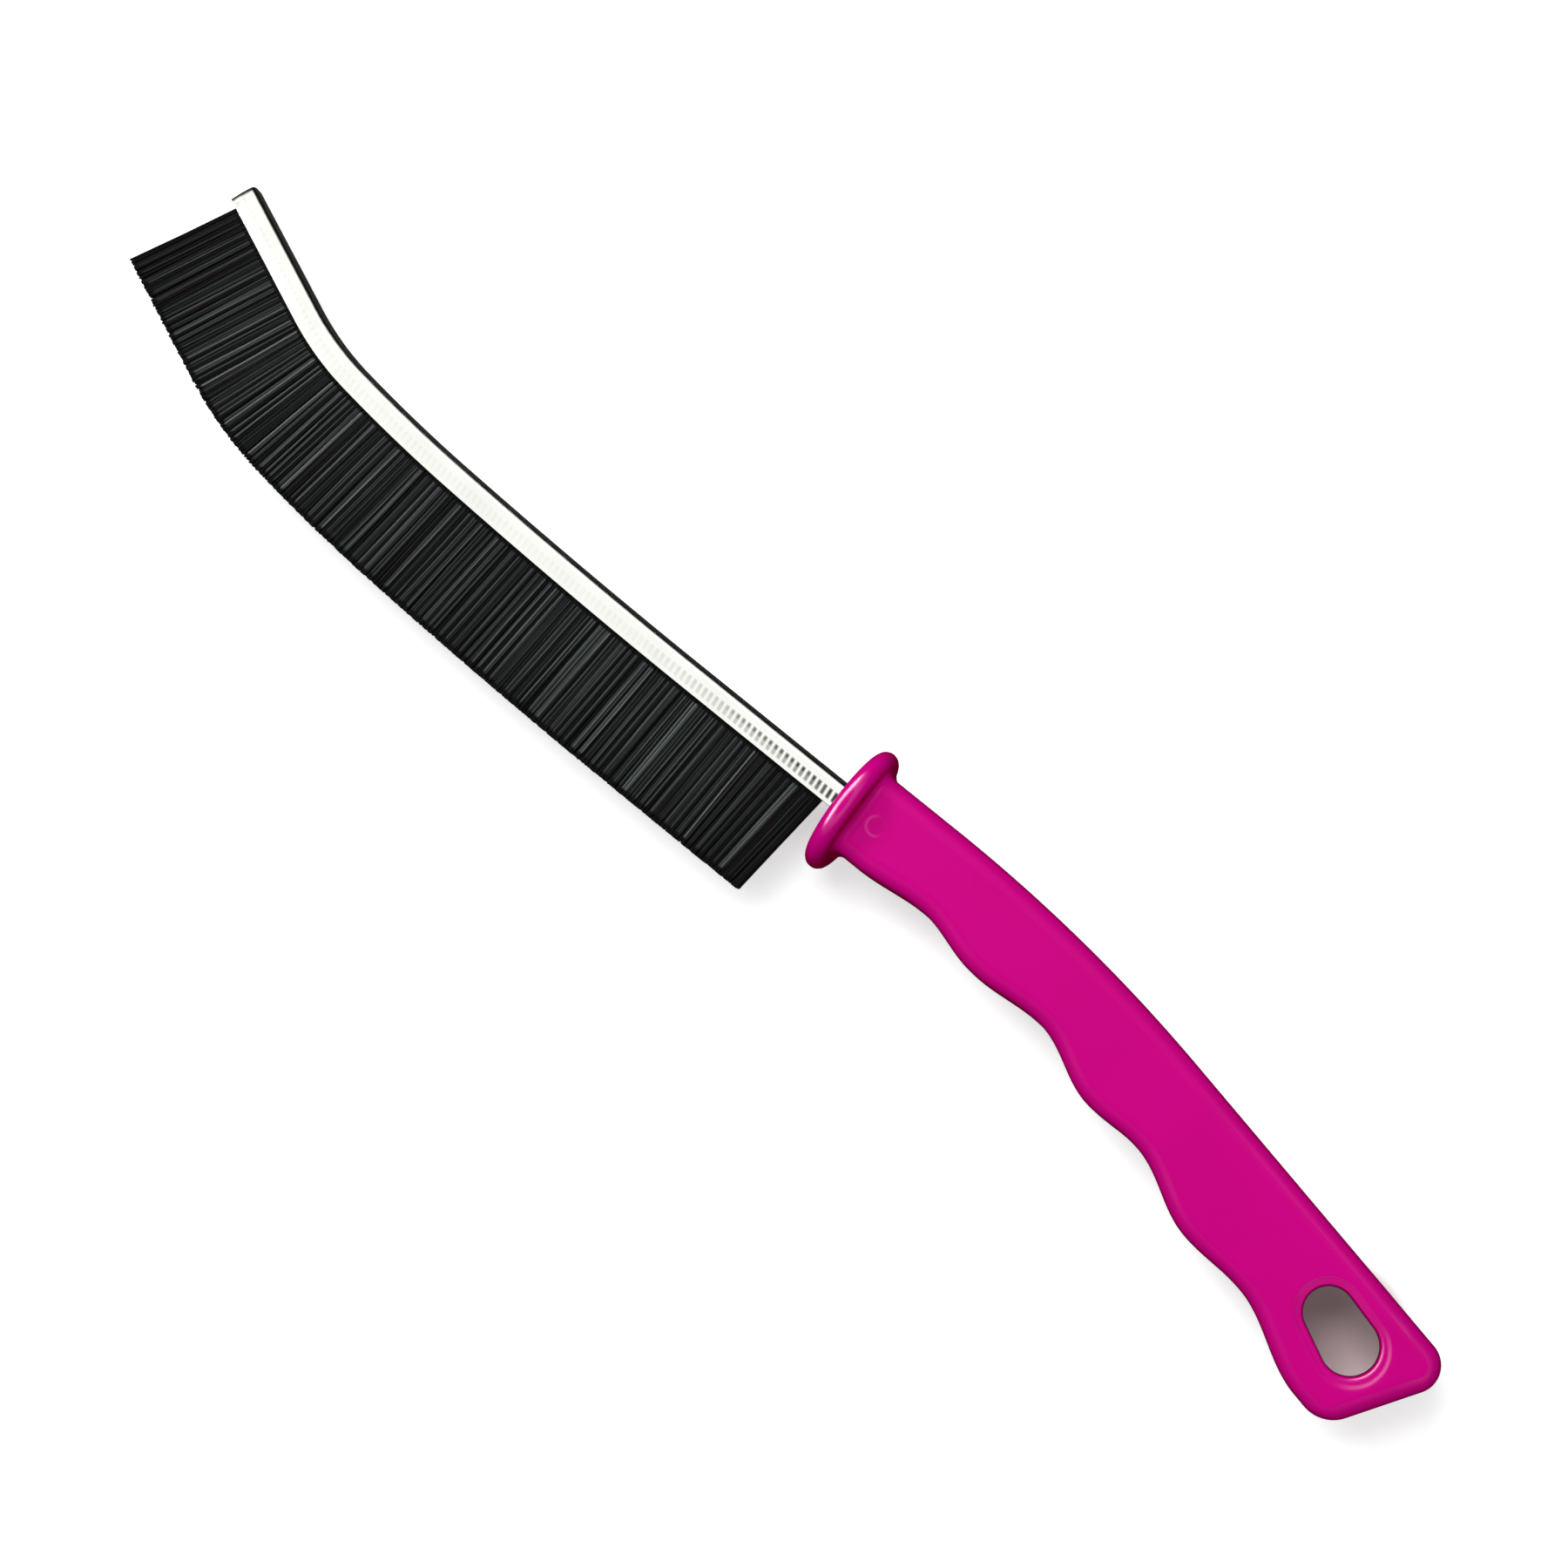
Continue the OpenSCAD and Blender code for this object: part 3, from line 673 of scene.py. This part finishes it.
def backEdge(x):
    # height over the distance d from the flange: straight, then radius - root(radius squared - the
    # distance into the arc squared), then rising evenly by the tangent of the bend's angle
    form = handleForm
    d = -np.asarray(x, dtype=float)
    turned = math.radians(form["bendAngle"])
    bendEnd = form["bendStart"] + form["bendRadius"] * math.sin(turned)
    inArc = np.clip(d - form["bendStart"], 0, bendEnd - form["bendStart"])
    arc = form["bendRadius"] - np.sqrt(form["bendRadius"] ** 2 - inArc ** 2)
    return -form["backOffset"] + arc + np.maximum(0, d - bendEnd) * math.tan(turned)


def forwardAt(angle):
    # the unit vector towards the flange on a handle turned by an angle in degrees: (cos a, -sin a)
    a = math.radians(angle)
    return np.array([math.cos(a), -math.sin(a)])


def acrossAt(angle):
    # the unit vector from the back to the fingers: (sin a, cos a)
    a = math.radians(angle)
    return np.array([math.sin(a), math.cos(a)])


holePlace = (-handleForm["holeX"], float(backEdge(-handleForm["holeX"])) + handleForm["holeInset"])

# the slanted butt: its two corners, how far its rounds reach forward, and the heel where they start
buttForward = forwardAt(handleForm["bendAngle"])
buttAcross = acrossAt(handleForm["buttSlant"])
buttBack = np.array([-handleForm["length"], float(backEdge(-handleForm["length"]))])
buttFinger = buttBack + handleForm["buttWidth"] * buttAcross
buttSkew = math.radians(handleForm["buttSlant"] - handleForm["bendAngle"])
buttDepth = max(handleForm["edge"], handleForm["backRound"] * (1 + math.sin(buttSkew)),
                handleForm["fingerRound"] * (1 - math.sin(buttSkew)))
heel = buttFinger + buttDepth / math.cos(buttSkew) * buttForward
fingerTable = np.array(handleForm["fingers"] + [(-heel[0], heel[1] - float(backEdge(heel[0])))])


def fingerEdge(x):
    # the back edge plus a width that eases by a half cosine from each ridge to the next groove
    d = np.clip(-np.asarray(x, dtype=float), fingerTable[0, 0], fingerTable[-1, 0])
    i = np.clip(np.searchsorted(fingerTable[:, 0], d, side="right") - 1, 0, len(fingerTable) - 2)
    t = (d - fingerTable[i, 0]) / (fingerTable[i + 1, 0] - fingerTable[i, 0])
    width = fingerTable[i, 1] + (fingerTable[i + 1, 1] - fingerTable[i, 1]) * (1 - np.cos(np.pi * t)) / 2
    return backEdge(x) + width


def drawnIn(depth, radius):
    # how far a round has drawn in at a depth under the end face: radius - root(radius squared - the
    # rest of the depth squared)
    inside = np.clip(radius - depth, 0, radius)
    return radius - np.sqrt(radius ** 2 - inside ** 2)


def cornerIn(depth, radius, skew):
    # how far a fillet between the end face and a skewed edge stands in from that edge: radius times
    # tan(45 degrees + half the skew), less depth times tan(skew), less the half chord at that depth
    inside = np.clip(radius - depth, -radius, radius)
    reach = radius * math.tan(math.pi / 4 + skew / 2) - depth * math.tan(skew)
    out = reach - np.sqrt(radius ** 2 - inside ** 2)
    return np.where(depth >= radius * (1 + math.sin(skew)), 0.0, out)


def handleStations():
    # rows of back x, back y, finger x, finger y, half thickness and edge radius: even steps over the
    # grip from behind the flange's fillet, and steps by a sine over the depth of the butt's rounds
    form = handleForm
    half = form["thickness"] / 2
    neckX = form["flangeFront"] - form["flangeThickness"] - form["fillet"] - form["neckGap"]
    t = np.linspace(0, 1, form["gripSteps"], endpoint=False)
    backEnd = buttBack[0] + buttDepth / math.cos(buttSkew) * buttForward[0]
    backX = neckX + (backEnd - neckX) * t
    fingerX = neckX + (heel[0] - neckX) * t
    same = np.ones(len(t))
    grip = np.stack([
        backX, backEdge(backX), fingerX, fingerEdge(fingerX), half * same, form["edge"] * same], -1)
    depth = buttDepth * (1 - np.sin(np.radians(np.linspace(0, 90, form["buttSteps"]))))
    forward = depth[:, None] / math.cos(buttSkew) * buttForward
    a = buttBack + forward + cornerIn(depth, form["backRound"], buttSkew)[:, None] * buttAcross
    b = buttFinger + forward - cornerIn(depth, form["fingerRound"], -buttSkew)[:, None] * buttAcross
    low = drawnIn(depth, form["edge"])
    left = np.maximum(form["edge"] - low, form["edge"] * form["edgeLeft"])
    butt = np.stack([a[:, 0], a[:, 1], b[:, 0], b[:, 1], half - low, left], -1)
    return np.concatenate([grip, butt])


def handleRing():
    # a rounded rectangle as factors: flat part across, flat part up, round part across (cos) and up (sin)
    form = handleForm
    signs = np.array([(1, 1), (-1, 1), (-1, -1), (1, -1)])
    rows = []
    for q in range(4):
        a = np.radians(90 * (q + np.linspace(0, 1, form["cornerSteps"])))
        corner = np.repeat(signs[q][None], len(a), 0)
        rows.append(np.stack([corner[:, 0], corner[:, 1], np.cos(a), np.sin(a)], -1))
        steps = form["sideSteps"] if q % 2 else form["flatSteps"]
        t = np.linspace(0, 1, steps + 1)[1:-1, None]
        flat = signs[q] + (signs[(q + 1) % 4] - signs[q]) * t
        rows.append(np.concatenate([flat, np.repeat(rows[-1][-1:, 2:], len(t), 0)], -1))
    return np.concatenate(rows)


def flangeRings(neck):
    # the flange turned about X: flat front, full round rim, and a fillet that leaves the rim or the
    # flat back and runs down to each point of the neck. For a neck point at radius p the fillet's
    # centre stands f above it, at rim radius plus f from the rim's centre, or f behind the flat back
    form = handleForm
    r, f = form["flangeThickness"] / 2, form["fillet"]
    rimRadius = form["flange"] / 2 - r
    y, z = neck[:, 1] - form["flangeShift"], neck[:, 2]
    p = np.hypot(y, z)
    above = np.maximum(p + f - rimRadius, 0)
    filletX = -r - np.sqrt(np.maximum((r + f) ** 2 - above ** 2, 0))
    meet = np.arctan2(above, -r - filletX)
    front = np.linspace(form["frontFrom"], form["frontTo"], form["frontSteps"])
    frontQ = np.concatenate([[form["frontMiddle"]], front])[:, None] * rimRadius * np.ones(len(p))
    rimT = np.linspace(1, 0, form["rimSteps"])[:, None]
    rimA = meet + (np.pi - meet) * rimT
    flatBack = (above == 0) & (rimT == 0)
    filletA = meet + (np.pi / 2 - meet) * np.linspace(0, 1, form["filletSteps"])[1:, None]
    x = np.concatenate([0 * frontQ, -r - r * np.cos(rimA), filletX + f * np.cos(filletA)])
    q = np.concatenate([
        frontQ, np.where(flatBack, p + f, rimRadius + r * np.sin(rimA)), p + f - f * np.sin(filletA)])
    fade = np.clip((x - filletX) / f, 0, 1)
    x = x + form["flangeFront"] - form["flangeTilt"] * fade * q * y / p
    return np.stack([x, form["flangeShift"] + q * y / p, q * z / p], -1)


def handleBody():
    # every station's ring: its middle plus the ring's factors times its sizes
    st = handleStations()
    ring = handleRing()
    back, finger = st[:, 0:2], st[:, 2:4]
    span = np.linalg.norm(finger - back, axis=1)
    across = (finger - back) / span[:, None]
    r = np.minimum(np.minimum(st[:, 5], st[:, 4]), span / 2)
    u = ring[None, :, 0] * (span / 2 - r)[:, None] + r[:, None] * ring[None, :, 2]
    z = ring[None, :, 1] * (st[:, 4] - r)[:, None] + r[:, None] * ring[None, :, 3]
    middle = (back + finger) / 2
    xy = middle[:, None, :] + u[..., None] * across[:, None, :]
    points = np.concatenate([xy, z[..., None]], -1)
    points = np.concatenate([flangeRings(points[0]), points])
    return points.reshape(-1, 3), loftQuads(len(points), len(ring))


def holeCutter():
    # the hole's outline, two arcs joined by their tangents, grown as the dish round it opens towards
    # each flat side, stacked along Z
    form = handleForm
    lean = math.degrees(math.asin((form["holeButt"] - form["holeFront"]) / form["holeSpan"]))
    steps = form["holeSteps"]
    a1 = np.radians(np.linspace(-(90 + lean), 90 + lean, steps))
    a2 = np.radians(np.linspace(90 + lean, 270 - lean, steps))
    turned = np.concatenate([a1, a2])
    centre = np.repeat([form["holeSpan"] / 2, -form["holeSpan"] / 2], steps)
    radius = np.repeat([form["holeButt"], form["holeFront"]], steps)
    dish = np.array(form["dish"])
    grow = np.concatenate([dish[:, 0], dish[::-1, 0]])
    height = form["thickness"] / 2 - dish[:, 1]
    height = np.concatenate([height, -height[::-1]])
    reach = radius[None, :] + grow[:, None]
    lx = centre[None, :] + form["dishReach"] * grow[:, None] * (centre > 0) + reach * np.cos(turned)[None, :]
    ly = reach * np.sin(turned)[None, :]
    b = math.radians(180 - form["holeAngle"])
    x = holePlace[0] + lx * math.cos(b) - ly * math.sin(b)
    y = holePlace[1] + lx * math.sin(b) + ly * math.cos(b)
    points = np.stack([x, y, np.repeat(height[:, None], x.shape[1], 1)], -1)
    return points.reshape(-1, 3), loftQuads(len(height), x.shape[1])


def socketCutter():
    # the channel's outline with a little clearance, straight into the handle
    form = handleForm
    outline = channelOutline(form["socketGap"], channelForm["height"] / 2 + form["socketGap"])
    s = np.array([-channelForm["tang"] - form["socketEnd"], form["socketFront"]])
    points = offPath(s[:, None], outline[None, :, 0], outline[None, :, 1])
    return points.reshape(-1, 3), loftQuads(2, len(outline))


def buildHandle():
    # the body less the hole and the socket; side is 1 - |normal z|, 0 on the flat faces
    sharpAngle = handleForm["sharpAngle"]
    points, quads = handleBody()
    piece = makePiece("handleBody", points, [quads], handlePlastic, sharpAngle)
    for name, cutter in (("holeCut", holeCutter), ("socketCut", socketCutter)):
        points, quads = cutter()
        tool = makePiece(name, points, [quads], handlePlastic, sharpAngle)
        cutPiece(piece, tool, handlePlastic, sharpAngle)
    normals = np.empty(len(piece.data.vertices) * 3, dtype=np.float32)
    piece.data.vertices.foreach_get("normal", normals)
    markPoints(piece, "side", 1 - np.abs(normals.reshape(-1, 3)[:, 2]))
    return piece


# Plastic of the handle. Pairs are the two ends of an S curve: over millimetres in the part's frame,
# over the side attribute or over noise
plasticLook = {
    # edge is painted shade, a deeper red on surfaces that turn away from the flat faces
    "face": (0.62, 0.0, 0.235, 1.0), "deep": (0.59, 0.0, 0.22, 1.0), "edge": (0.38, 0.0, 0.06, 1.0),
    "cloud": (40.0, 2.0), "cloudBand": (0.35, 0.65), "edgeShadeBand": (0.35, 0.95),
    "grain": (2500.0, 3.0), "swell": (60.0, 1.0), "grainHeight": 0.01, "bump": (0.06, 0.0006),
    "roughness": 0.3, "grainRoughness": 0.06,
    # the coat gleams on surfaces that have turned a little, most on the flange and round the hole
    "coat": 0.08, "edgeCoat": 0.1, "flangeCoat": 0.82, "buttCoat": 0.7, "ridgeCoat": 0.22,
    "coatRoughness": 0.28, "coatFrom": (0.015, 0.05), "coatTo": (0.11, 0.2),
    "flangeFrom": (-15.6, -14.8), "buttTo": (-135.0, -131.0), "holeTo": (10.6, 11.6),
    "ridgeTo": (-105.0, -80.0), "ridgeBelow": (8.0, 14.0),
    # shade inside the hang hole
    "wall": (0.09, 0.012, 0.02, 1.0), "wallTo": (8.6, 9.6), "wallBand": (0.75, 0.98),
    # the witness ring of a moulding pin: raised, and lighter in colour as a painted highlight
    "ring": (0.74, 0.10, 0.42, 1.0), "ringAt": (-7.3, 0.3), "ringRadius": 1.65, "ringWidth": 0.32,
    "ringTop": (16.0, 16.5), "ringWay": (0.78, 0.63), "ringSide": (-1.2, 0.8), "ringHighlight": 0.3,
    "ringHeight": 1.2,
}


def offsetFrom(wire, place):
    # x and y from a place on the flat face
    return [wire.along(axis) - float(place[i] + originShift[i]) for i, axis in enumerate("XY")]


def witnessRing(wire):
    # a faint raised ring on the upper side: one minus the squared distance from the ring's line over
    # its width, on an S curve, and less on the side away from ringWay; its lighter colour is a painted
    # highlight
    look = plasticLook
    x, y = offsetFrom(wire, look["ringAt"])
    away = (x * x + y * y) ** 0.5 - look["ringRadius"]
    ring = (away * away * (1 / look["ringWidth"] ** 2)).fade(0.0, 1.0)
    wayX, wayY = look["ringWay"]
    return ring * wire.along("Z").smooth(*look["ringTop"]) * (wayX * x + wayY * y).smooth(*look["ringSide"])


def holeDistance(wire):
    # from the hang hole's middle, in millimetres: the root of x squared plus y squared
    x, y = offsetFrom(wire, holePlace)
    return (x * x + y * y) ** 0.5


def holeWall(wire):
    # 1 on steep surfaces near the hang hole's middle, where the picture shows shade
    near = holeDistance(wire).fade(*plasticLook["wallTo"])
    return near * wire.attribute("side").smooth(*plasticLook["wallBand"])


def coatWeight(wire):
    # the coat everywhere, plus on the turned edges a share of its own for the flange, the butt round
    # the hole, and the back ridge before the butt
    look = plasticLook
    side = wire.attribute("side")
    edges = side.smooth(*look["coatFrom"]) * side.fade(*look["coatTo"])
    flange = wire.along("X").smooth(*look["flangeFrom"])
    butt = wire.along("X").fade(*look["buttTo"]) * holeDistance(wire).fade(*look["holeTo"])
    ridge = wire.along("X").fade(*look["ridgeTo"]) * wire.along("Y").fade(*look["ridgeBelow"])
    share = look["edgeCoat"] + look["flangeCoat"] * flange + look["buttCoat"] * butt
    return look["coat"] + edges * (share + look["ridgeCoat"] * ridge * (1.0 - butt))


def handleShader(wire):
    # clouds of slightly deeper colour, painted shade of deeper red where the surface turns away, and a
    # moulded skin
    look = plasticLook
    ring = witnessRing(wire)
    grain = wire.noise(*look["grain"])
    cloud = wire.noise(*look["cloud"]).smooth(*look["cloudBand"])
    # the ring's lighter colour is a painted highlight
    face = (look["ringHighlight"] * ring).blend(cloud.blend(look["face"], look["deep"]), look["ring"])
    # painted shade: the edge colour where the surface turns away
    turned = wire.attribute("side").smooth(*look["edgeShadeBand"]).blend(face, look["edge"])
    skin = wire.noise(*look["swell"]) + look["grainHeight"] * grain + look["ringHeight"] * ring
    return wire.principled({
        "Base Color": holeWall(wire).blend(turned, look["wall"]),
        "Roughness": look["roughness"] + look["grainRoughness"] * grain,
        "Specular IOR Level": 0.0,
        "Coat Weight": coatWeight(wire),
        "Coat Roughness": look["coatRoughness"],
        "Normal": wire.bump(skin, *look["bump"]),
    })


handlePlastic = newMaterial("handlePlastic", handleShader)
handlePiece = buildHandle()
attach(handlePiece, "root")
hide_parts("handle")
print("handle made", len(handlePiece.data.polygons))


# Floor, light and camera. Pairs are the two ends of an S curve, over the part of a direction or, for
# underHole, over millimetres from the hole's middle
studio = {
    "distance": 700.0, "lean": (10.0, -1.0), "aim": (-1.1, -1.257, 11.55), "roll": 39.0,
    "lens": 97.22, "sensor": 36.0, "clip": (0.01, 20.0),
    "worldLevel": 0.36, "worldFrom": (-0.5, 0.1), "lidAngle": (46.0, 40.0),
    "wallLevel": 0.3, "wallFrom": (0.18, 0.5), "fingerWall": (0.0, 0.2), "notZero": 0.0001,
    "floorReach": 3.0, "floorLift": 0.5, "underHole": (8.5, 12.5),
    # the second colour is the floor's painted pink bounce light under the hang hole
    "floor": (0.95, 0.95, 0.95, 1.0), "bounceUnderHole": (0.98, 0.76, 0.78, 1.0),
    "cardReach": 0.6, "cardHeight": 0.0005, "card": (0.01, 0.01, 0.01, 1.0),
    "white": (1.0, 1.0, 1.0, 1.0),
}

# Lamps, in metres and watts. The two that only gleam draw the line on the flange's rim and the
# sheen along the ridge
lamps = {
    "keyLamp": {"place": (0.72, -0.06, 0.56), "size": (0.50, 0.2), "power": 2.6, "shows": "diffuse"},
    "highLamp": {"place": (0.25, -0.23, 0.93), "size": (0.55, 0.55), "power": 4.8, "shows": "diffuse"},
    "fillLamp": {"place": (-0.65, 0.10, 0.60), "size": (0.4, 0.4), "power": 0.6, "shows": "diffuse"},
    "rimGleam": {"place": (0.72, -0.06, 0.56), "size": (1.6, 0.4), "power": 48.0, "shows": "glossy"},
    "ridgeGleam": {"place": (0.02, -0.26, 0.95), "size": (0.6, 0.12), "power": 0.5, "shows": "glossy"},
}


def placeInRoom(thing, right, up, back, place):
    # the matrix whose columns are the three directions and the place in metres
    rows = np.eye(4)
    rows[:3, 0], rows[:3, 1], rows[:3, 2], rows[:3, 3] = right, up, back, place
    thing.matrix_world = Matrix(rows.tolist())
    bpy.context.scene.collection.objects.link(thing)


def placeCamera():
    # the camera stands back from its aim, leant to the handle's end and to the back edge by the sines
    # of the two leans, and rolled about its line of sight
    lean = np.radians(studio["lean"])
    back = np.array([-math.sin(lean[0]), -math.sin(lean[1]), 0.0])
    back[2] = math.sqrt(1 - back @ back)
    alongX = np.array([1.0, 0.0, 0.0]) - back * back[0]
    alongX /= np.linalg.norm(alongX)
    alongY = np.cross(back, alongX)
    roll = math.radians(studio["roll"])
    right = -math.cos(roll) * alongX - math.sin(roll) * alongY
    up = math.sin(roll) * alongX - math.cos(roll) * alongY
    data = bpy.data.cameras.new("camera")
    data.lens = studio["lens"]
    data.sensor_width = studio["sensor"]
    data.clip_start, data.clip_end = studio["clip"]
    camera = bpy.data.objects.new("camera", data)
    place = np.array(studio["aim"]) + studio["distance"] * back
    placeInRoom(camera, right, up, back, place * metresPerMm)
    bpy.context.scene.camera = camera


def addLamp(name, place, size, power, shows):
    # a soft lamp turned to the middle of the room; it either lights surfaces or gleams in them
    data = bpy.data.lights.new(name, "AREA")
    data.shape = "RECTANGLE"
    data.size, data.size_y = size
    data.energy = power
    lamp = bpy.data.objects.new(name, data)
    lamp.visible_glossy = shows == "glossy"
    lamp.visible_diffuse = shows == "diffuse"
    back = np.array(place) / np.linalg.norm(place)
    right = np.cross([0.0, 0.0, 1.0], back)
    right /= np.linalg.norm(right)
    placeInRoom(lamp, right, np.cross(back, right), back, place)


def addSheet(name, reach, height, material):
    # a square that reaches as far from the middle to each side, at a height in metres
    corners = [(x * reach, y * reach, height) for x, y in ((-1, -1), (1, -1), (1, 1), (-1, 1))]
    mesh = bpy.data.meshes.new(name)
    mesh.from_pydata(corners, [], [(0, 1, 2, 3)])
    mesh.materials.append(material)
    sheet = bpy.data.objects.new(name, mesh)
    bpy.context.scene.collection.objects.link(sheet)
    sheet.visible_diffuse = False
    return sheet


def floorShader(wire):
    # a pale floor that keeps its shadows, lifted towards white where the camera sees it; the patch
    # under the hang hole isn't lifted, and is painted pink for light bounced off the handle
    seen = wire.node("ShaderNodeLightPath", output="Is Camera Ray")
    clear = holeDistance(wire).smooth(*studio["underHole"])
    floorAndBounce = clear.blend(studio["bounceUnderHole"], studio["floor"])
    shade = wire.node("ShaderNodeBsdfDiffuse", None, {"Color": floorAndBounce})
    lift = seen * studio["floorLift"] * clear
    glow = wire.node("ShaderNodeEmission", None, {"Color": studio["white"], "Strength": lift})
    return wire.node("ShaderNodeAddShader", None, {0: shade, 1: glow})


def cardShader(wire):
    # black and dull, for what gleams to reflect under itself
    return wire.principled({"Base Color": studio["card"], "Roughness": 1.0})


def buildWorld():
    # white to the camera and a soft grey to surfaces. Reflections see a white lid overhead, and grey
    # walls beyond the tip, the butt and the fingers: x squared over x squared plus y squared, or y
    world = bpy.data.worlds.new("studio")
    bpy.context.scene.world = world
    wire = emptyTree(world)
    seen, glossy, through = [
        wire.node("ShaderNodeLightPath", output="Is %s Ray" % kind)
        for kind in ("Camera", "Glossy", "Transmission")]
    x, y, height = [wire.node("ShaderNodeTexCoord", output="Generated").part(axis) for axis in "XYZ"]
    low, high = np.cos(np.radians(studio["lidAngle"])).tolist()
    lid = height.smooth(low, high)
    endwise = x * x / (x * x + y * y + studio["notZero"])
    walls = studio["wallLevel"] * endwise.smooth(*studio["wallFrom"]).larger(y.smooth(*studio["fingerWall"]))
    level = studio["worldLevel"] * height.smooth(*studio["worldFrom"]) * (1.0 - glossy)
    strength = seen.larger(through).larger(level + glossy * lid.larger(walls))
    sky = wire.node("ShaderNodeBackground", None, {"Color": studio["white"], "Strength": strength})
    wire.node("ShaderNodeOutputWorld", None, {"Surface": sky})


placeCamera()
buildWorld()
for name, lamp in lamps.items():
    addLamp(name, **lamp)
floor = addSheet("floor", studio["floorReach"], 0.0, newMaterial("paleFloor", floorShader))
card = addSheet("lowCard", studio["cardReach"], studio["cardHeight"], newMaterial("lowCard", cardShader))
card.visible_camera = False
card.visible_shadow = False
bpy.context.scene.view_settings.view_transform = "Standard"
print("stage set")
